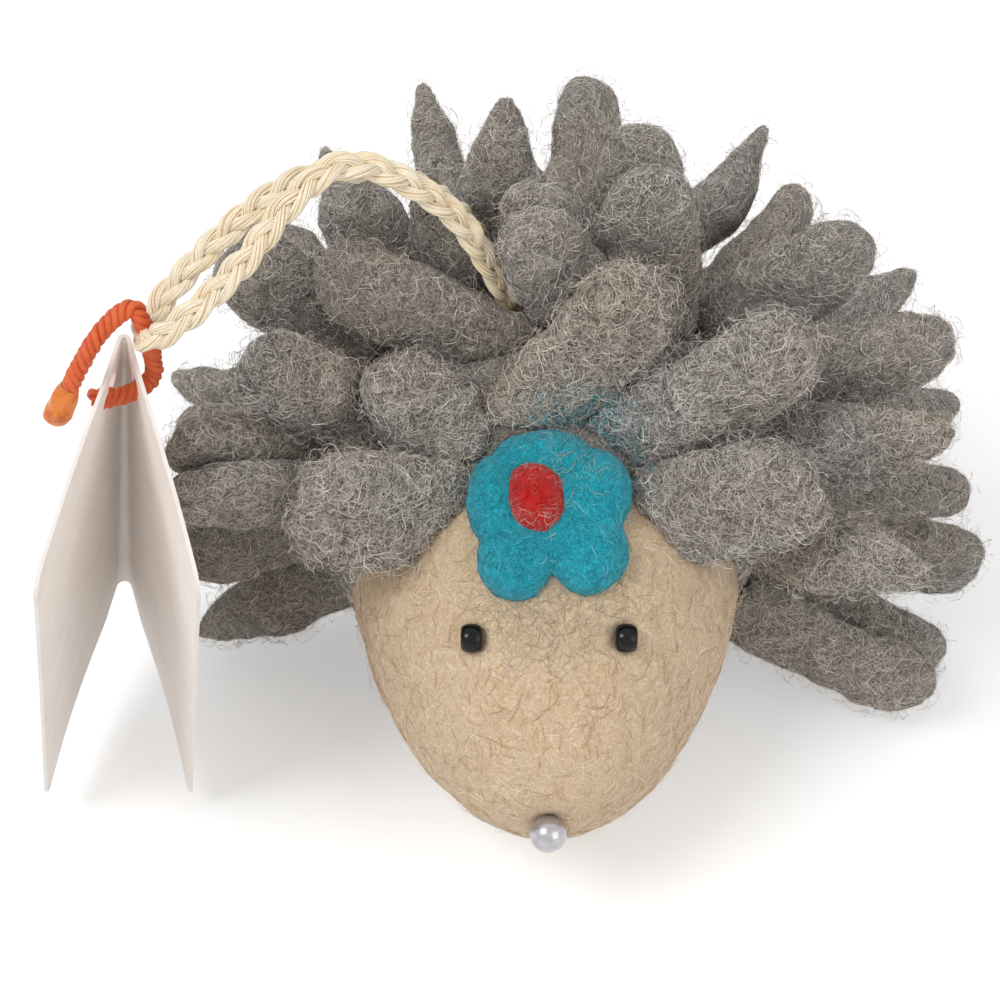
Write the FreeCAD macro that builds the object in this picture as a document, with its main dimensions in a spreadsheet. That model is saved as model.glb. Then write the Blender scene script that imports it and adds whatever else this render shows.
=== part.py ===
import FreeCAD, Part
import math
import os

from FreeCAD import Placement, Rotation, Vector

# A felt hedgehog ornament: a wool ball with a cone-shaped face, covered in thick felt quills, with
# a felt flower on its brow, bead eyes and nose, a braided hanging loop and a folded card on a tie.
# Millimetres. +Z up, the floor at Z = 0, the snout towards -Y, the origin under the ball's middle.

os.makedirs("parts", exist_ok=True)
doc = FreeCAD.newDocument("hedgehog_ornament")

# ---------------------------------------------------------------- driving sizes
SIZES = {
    "felt_gap": 0.15,
    "ball_radius": 26.6,
    "belly_sag": 2.6,
    "belly_press": 1.2,
    "crown_dimple": 84.0,
    "snout_length": 18.4,
    "snout_height": 18.0,
    "snout_radius": 5.2,
    "cheek_radius": 16.3,
    "face_radius": 21.4,
    "face_depth": 27.0,
    "nose_bead": 4.0,
    "nose_lift": 1.2,
    "eye_bead": 3.1,
    "eye_length": 2.5,
    "eye_end": 2.1,
    "eye_hole": 0.9,
    "eye_spacing": 15.6,
    "eye_station": 15.0,
    "bead_sink": 0.9,
    "flower_station": 26.0,
    "flower_slope": 19.0,
    "quill_thickness": 5.0,
    "cord_thickness": 3.0,
    "yarn_thickness": 2.0,
    "card_width": 30.0,
    "card_height": 52.0,
    "card_thickness": 0.4,
    "card_corner": 2.5,
    "card_opening": 29.0,
    "card_hole": 2.8,
    "hole_from_fold": 4.2,
    "hole_from_top": 3.2,
    "fold_radius": 0.5,
    "fold_gap": 0.2,
    "card_lean": 17.6,
    "card_side_lean": 6.9,
    "card_turn": 5.6,
    "knot": 3.6,
}

sheet = doc.addObject("Spreadsheet::Sheet", "sizes")
for row, (alias, value) in enumerate(SIZES.items(), start=1):
    sheet.set(f"A{row}", alias)
    sheet.set(f"B{row}", str(value))
    sheet.setAlias(f"B{row}", alias)
doc.recompute()


def size(alias):
    return float(sheet.get(alias))


def label(thing, name):
    thing.Label = name
    return thing


def bind(thing, **formulas):
    for place, formula in formulas.items():
        thing.setExpression(place.replace("__", "."), formula)
    return thing


def part(kind, name, **formulas):
    return bind(label(doc.addObject(kind, name), name), **formulas)


nodes = []


def node(thing, name):
    nodes.append(label(thing, name))
    return thing


def solid_node(shape, name):
    thing = doc.addObject("Part::Feature", name)
    thing.Shape = shape
    thing.Placement = Placement()
    return node(thing, name)


# ---------------------------------------------------------------- frame of the head and the ball
# the belly sags below the ball's round form and is pressed flat on the floor
BELLY_DEPTH = size("ball_radius") + size("belly_sag")
BALL = Vector(0, 0, BELLY_DEPTH - size("belly_press"))
SNOUT = Vector(0, -size("ball_radius") - size("snout_length"), size("snout_height"))
FORWARD = (SNOUT - BALL).normalize()
SIDE = Vector(1, 0, 0)
UP = SIDE.cross(FORWARD) * -1


def polar(around, lean, reach):
    """A point seen from the ball's middle: lean from the snout's axis, around it from the top."""
    turn = math.radians(around)
    tilt = math.radians(lean)
    outward = SIDE * math.sin(turn) + UP * math.cos(turn)
    return BALL + (FORWARD * math.cos(tilt) + outward * math.sin(tilt)) * reach


# ---------------------------------------------------------------- felt ball and face
BALL_SIDES = 36
BALL_STEPS = 11
FACE_SIDES = 44
SOCKET_SIDES = 12
SOCKET_STEP = 33
FLOOR_SIDE = 400.0
FLOOR_DEPTH = 40.0


def flat_face(corners):
    return Part.Face(Part.makePolygon(corners + corners[:1]))


def skin(outlines):
    """A closed solid through matching outlines, one above the other, flat between their corners."""
    faces = [flat_face(outlines[0]), flat_face(outlines[-1])]
    for near, far in zip(outlines, outlines[1:]):
        for corner in range(len(near)):
            behind = corner - 1
            faces.append(flat_face([near[behind], near[corner], far[corner], far[behind]]))
    shell = Part.makeShell(faces)
    shell.sewShape()
    solid = Part.makeSolid(shell)
    if solid.Volume < 0:
        solid.reverse()
    return solid


def circle_of(sides, middle, across, up, radius):
    turns = [math.radians(360.0 * side / sides) for side in range(sides)]
    return [middle + (across * math.cos(turn) + up * math.sin(turn)) * radius for turn in turns]


def globe(middle, radius, step, sides):
    """A faceted ball of rings that are one step of angle apart, two each side of its widest."""
    outlines = []
    for lift in (-2, -1, 0, 1, 2):
        angle = math.radians(lift * step)
        ring_middle = middle + FORWARD * (radius * math.sin(angle))
        outlines.append(circle_of(sides, ring_middle, SIDE, UP, radius * math.cos(angle)))
    return skin(outlines)


def ball_shape(grow=0.0):
    """The ball, swelling in rings from its belly's flat patch on the floor to its top."""
    radius = size("ball_radius") + grow
    depth = BELLY_DEPTH + grow
    lowest = -math.degrees(math.asin((BALL.z + grow) / depth))
    highest = size("crown_dimple")
    outlines = []
    for step in range(BALL_STEPS + 1):
        angle = math.radians(lowest + (highest - lowest) * step / BALL_STEPS)
        rise = radius if angle > 0 else depth
        middle = BALL + Vector(0, 0, rise * math.sin(angle))
        outlines.append(circle_of(BALL_SIDES, middle, SIDE, Vector(0, 1, 0), radius * math.cos(angle)))
    return skin(outlines)


def face_profile(grow=0.0):
    """(station from the snout's tip, radius) down the face to where it meets the ball."""
    snout = size("snout_radius")
    cheek = size("cheek_radius")
    face = size("face_radius")
    depth = size("face_depth")
    return [
        (-grow, 0.28 * snout + grow),
        (0.06 * depth, snout + grow),
        (0.17 * depth, 0.58 * cheek + grow),
        (0.32 * depth, 0.81 * cheek + grow),
        (0.50 * depth, cheek + grow),
        (0.74 * depth, 0.5 * (cheek + face) + 0.6 + grow),
        (depth, face + grow),
        (1.24 * depth, 1.03 * face + grow),
    ]


def face_shape(grow=0.0):
    outlines = []
    for station, radius in face_profile(grow):
        outlines.append(circle_of(FACE_SIDES, SNOUT - FORWARD * station, SIDE, UP, radius))
    return skin(outlines)


def face_radius_at(station):
    profile = face_profile()
    for (near, narrow), (far, wide) in zip(profile, profile[1:]):
        if near <= station <= far:
            return narrow + (wide - narrow) * (station - near) / (far - near)
    return profile[-1][1]


# ---------------------------------------------------------------- hanging cord and tie
LEAST_TAN = 1e-6
TUBE_SIDES = 10
KNOT_SIDES = 10
KNOT_STEP = 36
# share of the shorter run beside a corner that the corner's arc takes
ARC_SHARE = 0.45


def tube(points, thickness, name):
    """Straight runs joined by tangent arcs, each as large as its two runs allow."""
    edges = []
    radii = []
    start = points[0]
    for before_it, corner, after_it in zip(points, points[1:], points[2:]):
        incoming = (corner - before_it).normalize()
        outgoing = (after_it - corner).normalize()
        turn = incoming.getAngle(outgoing)
        cut = ARC_SHARE * min((corner - before_it).Length, (after_it - corner).Length)
        radius = cut / max(math.tan(turn / 2), LEAST_TAN)
        radii.append(radius)
        enter = corner - incoming * cut
        leave = corner + outgoing * cut
        to_middle = (outgoing - incoming).normalize()
        inner = corner + to_middle * (radius / math.cos(turn / 2)) - to_middle * radius
        edges.append(Part.LineSegment(start, enter).toShape())
        edges.append(Part.Arc(enter, inner, leave).toShape())
        start = leave
    edges.append(Part.LineSegment(start, points[-1]).toShape())
    route = Part.Wire(edges)
    along = (points[1] - points[0]).normalize()
    across = along.cross(Vector(0, 1, 0)).normalize()
    section = circle_of(TUBE_SIDES, points[0], across, across.cross(along), thickness / 2)
    section = Part.makePolygon(section + section[:1])
    pipe = route.makePipeShell([section], True, False)
    expected = Part.Face(section).Area * route.Length
    print(f"{name}: length {route.Length:.1f}, volume share {pipe.Volume / expected:.4f},"
          f" radii {' '.join(f'{radius:.1f}' for radius in radii)}")
    return pipe


# The loop leaves the ball's top in front, runs to the tie, turns there and comes back behind.
CORD_ROUTE = [
    (-2.9, -3.3, 52.6), (-6.0, -4.9, 62.6), (-10.2, -6.9, 72.1), (-19.8, -9.3, 80.2),
    (-25.6, -13.2, 77.6), (-30.9, -17.1, 71.4), (-38.6, -21.9, 66.6), (-42.4, -18.9, 63.4),
    (-41.2, -14.5, 63.9), (-34.2, -11.0, 70.3), (-26.1, -8.2, 76.3), (-18.2, -5.3, 76.0),
    (-10.9, -1.7, 69.1), (-6.2, 0.6, 60.6), (-3.3, 1.7, 52.6),
]
# The tie's waxed tail hangs outside, the tie turns through the loop, drops beside the card and
# crosses both leaves to a knot.
YARN_ROUTE = [
    (-50.2, -22.5, 57.0), (-47.8, -22.3, 61.8), (-45.2, -20.6, 66.2), (-41.4, -17.6, 67.6),
    (-38.3, -18.4, 64.4), (-38.4, -17.6, 57.4), (-48.0, -18.6, 58.3),
]
cord = tube([Vector(*point) for point in CORD_ROUTE], size("cord_thickness"), "cord")
sleeve_thickness = size("cord_thickness") + 2 * size("felt_gap")
cord_sleeve = tube([Vector(*point) for point in CORD_ROUTE], sleeve_thickness, "cord sleeve")
solid_node(cord, "hanging_cord")
yarn = tube([Vector(*point) for point in YARN_ROUTE], size("yarn_thickness"), "yarn")
knot = globe(Vector(*YARN_ROUTE[-1]), size("knot") / 2, KNOT_STEP, KNOT_SIDES)
solid_node(yarn.fuse(knot), "yarn_tie")

# ---------------------------------------------------------------- card
# The card hangs from its top: its fold runs down along its own -Z and both leaves reach to -Y.
CARD_TOP = Vector(-43.5, -15.2, 62.0)
card_tilt = Rotation(Vector(0, 0, 1), size("card_turn"))
card_tilt = card_tilt.multiply(Rotation(Vector(0, 1, 0), size("card_side_lean")))
card_tilt = card_tilt.multiply(Rotation(Vector(1, 0, 0), size("card_lean")))


def rounded_leaf(name, inner_face, start):
    """A leaf of the card in the fold's frame, its two free corners rounded."""
    blank = part("Part::Box", name + "_blank", Length="sizes.card_thickness", Height="sizes.card_height",
                 Width=f"sizes.card_width - {start}", Placement__Base__x=inner_face,
                 Placement__Base__y="-sizes.card_width", Placement__Base__z="-sizes.card_height")
    doc.recompute()
    free_edge = -size("card_width")
    corners = []
    for index, edge in enumerate(blank.Shape.Edges, start=1):
        box = edge.BoundBox
        if box.YMax < free_edge + 0.01 and box.ZLength < 0.01:
            corners.append((index, size("card_corner"), size("card_corner")))
    leaf = label(doc.addObject("Part::Fillet", name + "_rounded"), name + "_rounded")
    leaf.Base = blank
    leaf.Edges = corners
    return leaf


def tie_hole(name):
    hole = part("Part::Cylinder", name + "_hole", Radius="sizes.card_hole / 2", Height="sizes.card_hole * 2",
                Placement__Base__x="-sizes.card_hole", Placement__Base__y="-sizes.hole_from_fold",
                Placement__Base__z="-sizes.hole_from_top")
    hole.Placement.Rotation = Rotation(Vector(0, 1, 0), 90)
    return hole


def holed_leaf(name, body, side):
    leaf = label(doc.addObject("Part::Cut", name), name)
    leaf.Base = body
    leaf.Tool = tie_hole(name)
    half = Rotation(Vector(0, 0, 1), side * size("card_opening") / 2)
    leaf.Placement = Placement(CARD_TOP, card_tilt.multiply(half))
    return node(leaf, name)


left = rounded_leaf("card_leaf_left", "-sizes.fold_gap / 2 - sizes.card_thickness",
                    "(sizes.fold_radius + sizes.fold_gap)")
holed_leaf("card_leaf_left", left, -1)
fold = part("Part::Cylinder", "card_fold", Radius="sizes.fold_radius", Height="sizes.card_height",
            Placement__Base__z="-sizes.card_height")
right = label(doc.addObject("Part::Fuse", "card_leaf_right_folded"), "card_leaf_right_folded")
right.Base = rounded_leaf("card_leaf_right", "sizes.fold_gap / 2", "0")
right.Tool = fold
holed_leaf("card_leaf_right", right, 1)
doc.recompute()

# ---------------------------------------------------------------- ball and face
ball = ball_shape().cut(cord_sleeve)
solid_node(ball, "felt_ball")
under_floor = Part.makeBox(FLOOR_SIDE, FLOOR_SIDE, FLOOR_DEPTH,
                           Vector(-FLOOR_SIDE / 2, -FLOOR_SIDE / 2, -FLOOR_DEPTH))
face = face_shape().cut(ball_shape(size("felt_gap"))).cut(under_floor)

# ---------------------------------------------------------------- beads
def eye_place(side):
    """On the face's upper side, half the spacing out, with the thread hole across the face."""
    station = size("eye_station")
    out = size("eye_spacing") / 2
    radius = face_radius_at(station)
    up = math.sqrt(radius**2 - out**2)
    surface = SNOUT - FORWARD * station + SIDE * (side * out) + UP * up
    # the felt slopes down to the snout, so the bead stands out from a place behind its own station
    behind = SNOUT - FORWARD * (station + 0.5 * radius)
    normal = (surface - behind).normalize()
    return surface + normal * (size("eye_bead") / 2 - size("bead_sink")), normal


def eye_bead(name, middle, across):
    """A glass seed bead lying on its side: a barrel, chamfered at both ends, with a thread hole."""
    barrel = part("Part::Cylinder", name + "_barrel", Radius="sizes.eye_bead / 2", Height="sizes.eye_length / 2")
    ends = []
    for end, turn in (("near", 0), ("far", 180)):
        cone = part("Part::Cone", f"{name}_{end}", Radius1="sizes.eye_bead / 2", Height="sizes.eye_length / 4",
                    Radius2="sizes.eye_end / 2")
        lift = 0 if turn else size("eye_length") / 2
        cone.Placement = Placement(Vector(0, 0, lift), Rotation(Vector(1, 0, 0), turn))
        ends.append(cone)
    body = label(doc.addObject("Part::MultiFuse", name + "_body"), name + "_body")
    body.Shapes = [barrel] + ends
    hole = part("Part::Cylinder", name + "_hole", Radius="sizes.eye_hole / 2", Height="sizes.eye_length * 2")
    hole.Placement = Placement(Vector(0, 0, -size("eye_length")), Rotation())
    bead = label(doc.addObject("Part::Cut", name), name)
    bead.Base = body
    bead.Tool = hole
    turn = Rotation(Vector(0, 0, 1), across)
    bead.Placement = Placement(middle - across * (size("eye_length") / 4), turn)
    return node(bead, name)


# the pearl sits deeper than the eyes, in the snout's end
NOSE_SINK = size("bead_sink") + 0.3
sockets = []
for side, name in ((-1, "eye_bead_left"), (1, "eye_bead_right")):
    middle, normal = eye_place(side)
    eye_bead(name, middle, normal.cross(Vector(0, 0, 1)).normalize())
    sockets.append((middle, size("eye_bead") / 2))

nose_middle = SNOUT + FORWARD * (size("nose_bead") / 2 - NOSE_SINK) + UP * size("nose_lift")
nose = doc.addObject("Part::Sphere", "nose_bead")
bind(nose, Radius="sizes.nose_bead / 2")
nose.Placement = Placement(nose_middle, Rotation())
node(nose, "nose_bead_pearl")
sockets.append((nose_middle, size("nose_bead") / 2))


for middle, radius in sockets:
    # the dent's flat sides stay a little clear of the bead
    corner = (radius + size("felt_gap")) / math.cos(math.radians(SOCKET_STEP / 2)) ** 2
    face = face.cut(globe(middle, corner, SOCKET_STEP, SOCKET_SIDES))
solid_node(face, "felt_face")
doc.recompute()

# ---------------------------------------------------------------- flower
FLOWER = SNOUT - FORWARD * size("flower_station") + UP * face_radius_at(size("flower_station"))
flower_tilt = math.radians(size("flower_slope"))
FLOWER_OUT = UP * math.cos(flower_tilt) + FORWARD * math.sin(flower_tilt)
FLOWER_TOP = UP * math.sin(flower_tilt) - FORWARD * math.cos(flower_tilt)


# share of the rise and of the outline, from under the felt's surface to the pad's top
PAD_FORM = ((-0.7, 0.84), (0.0, 1.0), (0.45, 0.94), (0.80, 0.70), (1.0, 0.36))
PAD_SIDES = 14


def pad(right, top, width, length, rise, turn, grow=0.0):
    """A domed pad of wool, right and top of the flower's middle, turned in the flower's plane."""
    bend = math.radians(turn)
    across = SIDE * math.cos(bend) + FLOWER_TOP * math.sin(bend)
    up = FLOWER_TOP * math.cos(bend) - SIDE * math.sin(bend)
    middle = FLOWER + SIDE * right + FLOWER_TOP * top
    outlines = []
    for lift, share in PAD_FORM:
        wide = across * ((width / 2 + grow) * share)
        long = up * ((length / 2 + grow) * share)
        outlines.append(circle_of(PAD_SIDES, middle + FLOWER_OUT * (lift * (rise + grow)), wide, long, 1.0))
    return skin(outlines)


# petals: right and top of the flower's middle, width, length, rise and turn
PETALS = {
    "flower_centre": (-1.4, 1.8, 6.0, 7.8, 3.6, 8),
    "flower_petal_lower_left": (-3.4, -4.4, 7.8, 8.8, 3.0, 12),
    "flower_petal_lower_right": (4.0, -3.6, 8.4, 9.4, 3.0, -14),
    "flower_petal_right": (5.0, 2.8, 7.2, 9.6, 3.0, 8),
    "flower_petal_top": (-0.6, 6.4, 10.6, 6.0, 3.0, 0),
    "flower_petal_left": (-5.6, 1.6, 5.6, 10.4, 3.0, 4),
}
face_felt = face_shape(size("felt_gap"))
ball_felt = ball_shape(size("felt_gap"))


def largest(shape):
    return max(shape.Solids, key=lambda solid: solid.Volume)


# precision, least and greatest tolerance when a cut leaves a very short edge
HEALING = (1e-4, 1e-5, 1e-3)


def trimmed(shape, others):
    """The shape without what others take of it."""
    for other in others:
        if shape.BoundBox.intersect(other.BoundBox) and shape.common(other).Volume > 0:
            shape = largest(shape.cut(other))
            shape.fix(*HEALING)
    return shape


petals = []
for name, petal in PETALS.items():
    solid_node(trimmed(pad(*petal), [face_felt, ball_felt] + petals), name)
    petals.append(pad(*petal, grow=size("felt_gap")))

# ---------------------------------------------------------------- quills
# Forms of a quill: share of its length and of its section. Its root runs even.
BLUNT = ((0.0, 0.92), (0.20, 0.92), (0.55, 1.0), (0.82, 0.92), (0.94, 0.70), (1.0, 0.40))
POINTED = ((0.0, 0.94), (0.20, 0.94), (0.48, 1.0), (0.74, 0.72), (0.92, 0.38), (1.0, 0.14))
OUTLINE = ((0.50, 0.0), (0.40, 0.36), (0.15, 0.50), (-0.15, 0.50), (-0.40, 0.36),
           (-0.50, 0.0), (-0.40, -0.36), (-0.15, -0.50), (0.15, -0.50), (0.40, -0.36))


def ball_seat(direction):
    """Where a direction from the ball's middle leaves the ball, and the surface's normal there."""
    radius = size("ball_radius")
    height = radius if direction.z > 0 else BELLY_DEPTH
    inner = math.sqrt((direction.x**2 + direction.y**2) / radius**2 + direction.z**2 / height**2)
    normal = Vector(direction.x / radius**2, direction.y / radius**2, direction.z / height**2).normalize()
    return BALL + direction / inner + normal * size("felt_gap"), normal


def quill_shape(tip, width, root, form, curl, facing, grow=0.0, sunk=0.0):
    """A flat tongue of felt from the ball out to its tip, bowed by curl, its flat side facing up."""
    foot, outward = ball_seat(polar(root[0], root[1], 1.0) - BALL)
    end = polar(tip[0], tip[1], size("ball_radius") + tip[2])
    along = end - foot
    length = along.Length
    along.normalize()
    upward = math.radians(facing)
    flat = FORWARD * math.cos(upward) + UP * math.sin(upward)
    flat = (flat - along * flat.dot(along)).normalize()
    across = flat.cross(along)
    outlines = []
    for share, section in form:
        bow = 4 * curl * max(share - 0.2, 0) * (1 - share)
        middle = foot + along * (length * share) + flat * bow
        corners = []
        for right, high in OUTLINE:
            wide = right * (width + 2 * grow) * section
            corner = middle + across * wide + flat * (high * (size("quill_thickness") + 2 * grow) * section)
            if share == 0:
                corner = corner + along * (((foot - corner).dot(outward) - sunk) / along.dot(outward))
            corners.append(corner)
        outlines.append(corners)
    return skin(outlines)


# Each quill: around and lean of its tip and how far that stands out of the ball, its width, around
# and lean of its root, its form, how far it bows up and how far its flat side turns up from the snout.
QUILLS = {
    "brow": [
        ((-48, 60, 14.4), 13.0, (-31, 50), BLUNT, 0.5, 35),
        ((47, 63, 15.4), 13.0, (33, 50), BLUNT, 0.5, 35),
        ((-61, 69, 21.9), 8.5, (-58, 64), BLUNT, 0.5, 20),
        ((69, 61, 23.4), 10.0, (66, 60), POINTED, 0.5, 25),
    ],
    "crown": [
        ((-30, 80, 8.4), 10.0, (-25, 66), BLUNT, 0.5, 20),
        ((15, 86, 14.4), 11.5, (-1, 72), BLUNT, 1.5, 20),
        ((36, 81, 18.4), 12.5, (22, 67), BLUNT, 2.0, 20),
        ((-44, 82, 18.4), 10.0, (-46, 76), BLUNT, 1.0, 20),
        ((61, 78, 23.4), 11.5, (56, 73), POINTED, 1.0, 20),
        ((-59, 75, 21.4), 8.5, (-64, 77), BLUNT, 0.5, 20),
    ],
    "mane": [
        ((-34, 94, 16.4), 11.0, (-15, 90), BLUNT, 1.5, 15),
        ((-3, 94, 16.4), 10.5, (9, 93), BLUNT, 1.0, 15),
        ((59, 89, 24.4), 11.0, (46, 87), BLUNT, 1.0, 15),
        ((13, 101, 19.4), 10.5, (27, 101), BLUNT, 1.0, 10),
        ((-17, 101, 19.4), 8.0, (-17, 103), POINTED, 1.0, 10),
        ((-48, 100, 20.4), 11.0, (-48, 100), BLUNT, 1.0, 10),
        ((-88, 96, 16.4), 11.0, (-84, 94), BLUNT, 1.0, 10),
        ((87, 85, 22.4), 10.0, (85, 85), BLUNT, 1.0, 10),
    ],
    "back": [
        ((-3, 101, 15.4), 8.5, (2, 105), BLUNT, 1.0, 5),
        ((-6, 114, 20.4), 9.5, (-12, 119), POINTED, 1.0, 0),
        ((43, 97, 22.4), 11.0, (46, 103), BLUNT, 1.0, 5),
        ((79, 117, 24.4), 10.0, (76, 112), POINTED, 1.0, 5),
        ((73, 135, 20.4), 12.0, (67, 130), BLUNT, 1.0, 0),
        ((-33, 110, 16.4), 11.0, (-38, 112), BLUNT, 1.0, 0),
        ((-72, 128, 22.4), 11.0, (-70, 122), POINTED, 1.0, 0),
        ((-96, 111, 22.4), 10.0, (-94, 110), POINTED, 1.0, 5),
        ((97, 106, 26.4), 10.0, (97, 106), POINTED, 1.0, 5),
        ((16, 117, 16.4), 10.0, (22, 122), BLUNT, 1.0, 0),
    ],
    "rear": [
        ((-34, 148, 22.4), 6.5, (-33, 141), POINTED, 1.0, 0),
        ((20, 156, 21.4), 11.0, (12, 146), BLUNT, 1.0, 0),
        ((60, 142, 24.4), 9.0, (52, 146), POINTED, 3.0, 0),
        ((-63, 142, 22.4), 8.0, (-75, 143), POINTED, 1.0, 0),
        ((95, 138, 19.4), 11.0, (95, 138), BLUNT, 1.0, 0),
        ((-108, 136, 19.4), 11.0, (-108, 136), BLUNT, 1.0, 0),
        ((170, 168, 15.4), 11.0, (170, 168), BLUNT, 1.0, 0),
        ((130, 136, 17.4), 10.0, (130, 136), BLUNT, 1.0, 0),
        ((-145, 137, 16.4), 10.0, (-145, 137), BLUNT, 1.0, 0),
    ],
    "skirt": [
        ((102, 84, 27.4), 11.5, (103, 86), BLUNT, 1.0, 10),
        ((112, 75, 26.4), 10.5, (116, 74), BLUNT, 1.0, 10),
        ((110, 67, 26.0), 10.0, (112, 63), BLUNT, 1.0, 10),
        ((-114, 93, 21.4), 11.0, (-114, 93), BLUNT, 1.0, 10),
        ((-118, 80, 22.4), 10.0, (-118, 78), POINTED, 1.0, 10),
        ((-96, 79, 16.9), 11.0, (-96, 78), BLUNT, 1.0, 10),
        ((124, 104, 19.4), 10.0, (124, 106), BLUNT, 1.0, 0),
        ((-126, 112, 19.4), 10.0, (-126, 112), BLUNT, 1.0, 0),
    ],
}

QUILL_SUNK = 2.0
# each quill yields to the face, the flower, the cord and the quills laid before it
laid = [face_felt, cord_sleeve] + petals
for ring_name, quills in QUILLS.items():
    for number, quill in enumerate(quills, start=1):
        solid_node(trimmed(quill_shape(*quill), laid), f"quill_{ring_name}_{number}")
        laid.append(quill_shape(*quill, grow=size("felt_gap"), sunk=QUILL_SUNK))

# ---------------------------------------------------------------- check and write
doc.recompute()
for thing in doc.Objects:
    if "Invalid" in thing.State or "Error" in thing.State:
        raise RuntimeError(f"{thing.Label} failed: {thing.State}")
for thing in nodes:
    if thing.Shape.isNull() or not thing.Shape.isValid() or not thing.Shape.Solids:
        raise RuntimeError(f"{thing.Label} has no valid solid")
for thing in nodes:
    thing.Shape.exportStep(f"parts/{thing.Label}.step")
print(len(nodes), "nodes")
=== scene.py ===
import math

import bpy
import numpy as np
from mathutils import Matrix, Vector
from mathutils.bvhtree import BVHTree
from mathutils.geometry import delaunay_2d_cdt


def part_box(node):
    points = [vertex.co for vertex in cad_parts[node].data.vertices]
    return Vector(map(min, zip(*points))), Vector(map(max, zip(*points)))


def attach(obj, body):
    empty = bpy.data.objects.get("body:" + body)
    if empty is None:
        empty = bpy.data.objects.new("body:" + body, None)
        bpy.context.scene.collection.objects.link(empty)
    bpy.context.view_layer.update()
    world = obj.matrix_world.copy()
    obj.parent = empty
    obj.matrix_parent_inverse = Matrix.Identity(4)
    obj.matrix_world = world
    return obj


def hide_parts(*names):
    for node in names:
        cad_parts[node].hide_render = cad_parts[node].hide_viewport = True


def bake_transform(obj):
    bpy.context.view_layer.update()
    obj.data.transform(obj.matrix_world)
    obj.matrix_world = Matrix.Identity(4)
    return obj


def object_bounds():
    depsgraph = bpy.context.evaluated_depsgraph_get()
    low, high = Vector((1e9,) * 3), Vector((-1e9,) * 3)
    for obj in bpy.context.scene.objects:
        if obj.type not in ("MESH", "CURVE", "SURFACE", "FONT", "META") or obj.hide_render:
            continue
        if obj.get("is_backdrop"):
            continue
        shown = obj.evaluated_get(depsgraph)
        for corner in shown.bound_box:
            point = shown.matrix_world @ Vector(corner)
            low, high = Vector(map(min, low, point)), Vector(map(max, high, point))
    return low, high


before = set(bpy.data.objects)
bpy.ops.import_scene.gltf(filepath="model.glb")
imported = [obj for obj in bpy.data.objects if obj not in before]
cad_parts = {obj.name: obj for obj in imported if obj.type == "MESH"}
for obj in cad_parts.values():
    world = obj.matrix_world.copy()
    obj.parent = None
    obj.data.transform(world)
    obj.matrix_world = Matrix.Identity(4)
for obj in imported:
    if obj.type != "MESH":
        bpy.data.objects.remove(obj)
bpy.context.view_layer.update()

MM = 0.001
scene = bpy.context.scene

# ---------------------------------------------------------------- camera
camera_data = bpy.data.cameras.new("camera")
camera_data.lens = 81.0
camera_data.sensor_width = 36.0
camera_data.clip_start = 0.01
camera = bpy.data.objects.new("camera", camera_data)
camera.location = (-0.0051, -0.1925, 0.2095)
camera.rotation_euler = (math.radians(46.0), 0.0, 0.0)
scene.collection.objects.link(camera)
scene.camera = camera


# ---------------------------------------------------------------- meshes
def mesh_object(name, points, faces, smooth=True):
    """A mesh of numpy points and an array of faces that all have as many corners."""
    faces = np.asarray(faces)
    mesh = bpy.data.meshes.new(name)
    mesh.vertices.add(len(points))
    mesh.vertices.foreach_set("co", np.asarray(points, np.float32).ravel())
    mesh.loops.add(faces.size)
    mesh.loops.foreach_set("vertex_index", faces.astype(np.int32).ravel())
    mesh.polygons.add(len(faces))
    mesh.polygons.foreach_set("loop_start", np.arange(0, faces.size, faces.shape[1], dtype=np.int32))
    mesh.update(calc_edges=True)
    mesh.polygons.foreach_set("use_smooth", np.array(np.broadcast_to(smooth, len(faces))))
    thing = bpy.data.objects.new(name, mesh)
    scene.collection.objects.link(thing)
    return thing


def point_values(thing, name, values):
    layer = thing.data.attributes.new(name, "FLOAT", "POINT")
    layer.data.foreach_set("value", np.asarray(values, np.float32))


def unit(vectors):
    return vectors / np.maximum(np.linalg.norm(vectors, axis=-1, keepdims=True), 1e-12)


def grid_faces(rows, columns, closed=True):
    """Quads between rows of points, each row closed round unless told otherwise."""
    across = columns if closed else columns - 1
    row, column = np.meshgrid(np.arange(rows - 1), np.arange(across), indexing="ij")
    beside = (column + 1) % columns
    near = row * columns
    far = near + columns
    return np.stack([near + column, near + beside, far + beside, far + column], -1).reshape(-1, 4)


def tube(line, across, normal, radii, sides):
    """Points and quads round a line, with a radius for each of its points."""
    turn = np.linspace(0, 2 * math.pi, sides, endpoint=False)
    ring = across[:, None] * np.cos(turn)[:, None] + normal[:, None] * np.sin(turn)[:, None]
    points = (line[:, None] + ring * radii[:, None, None]).reshape(-1, 3)
    return points, grid_faces(len(line), sides)


def frames_along(line, guide):
    """Across and normal at each point of a line that never runs along guide."""
    tangent = unit(np.gradient(line, axis=0))
    across = unit(np.cross(tangent, guide))
    return across, np.cross(across, tangent)


def joined(parts):
    """Several (points, faces) as one."""
    bases = np.cumsum([0] + [len(points) for points, _ in parts[:-1]])
    faces = [corners + base for base, (_, corners) in zip(bases, parts)]
    return np.concatenate([points for points, _ in parts]), np.concatenate(faces)


def waves_at(points, rng, scale, count=12):
    """A smooth random height at each point, mostly within -1.5 to 1.5, its bumps about scale across."""
    ways = unit(rng.normal(0, 1, (count, 3))) * rng.uniform(0.6, 1.4, (count, 1)) * (math.pi / scale)
    return np.sin(points @ ways.T + rng.uniform(0, 2 * math.pi, count)).sum(axis=1) * (1.4 / count ** 0.5)


def add_piece(thing, looks, slot, body, *nodes):
    """Gives a piece its materials and its body, and hides the CAD nodes that it stands for; slot is not used.
    """
    for look in looks:
        thing.data.materials.append(look)
    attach(thing, body)
    if nodes:
        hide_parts(*nodes)
    return thing


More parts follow.
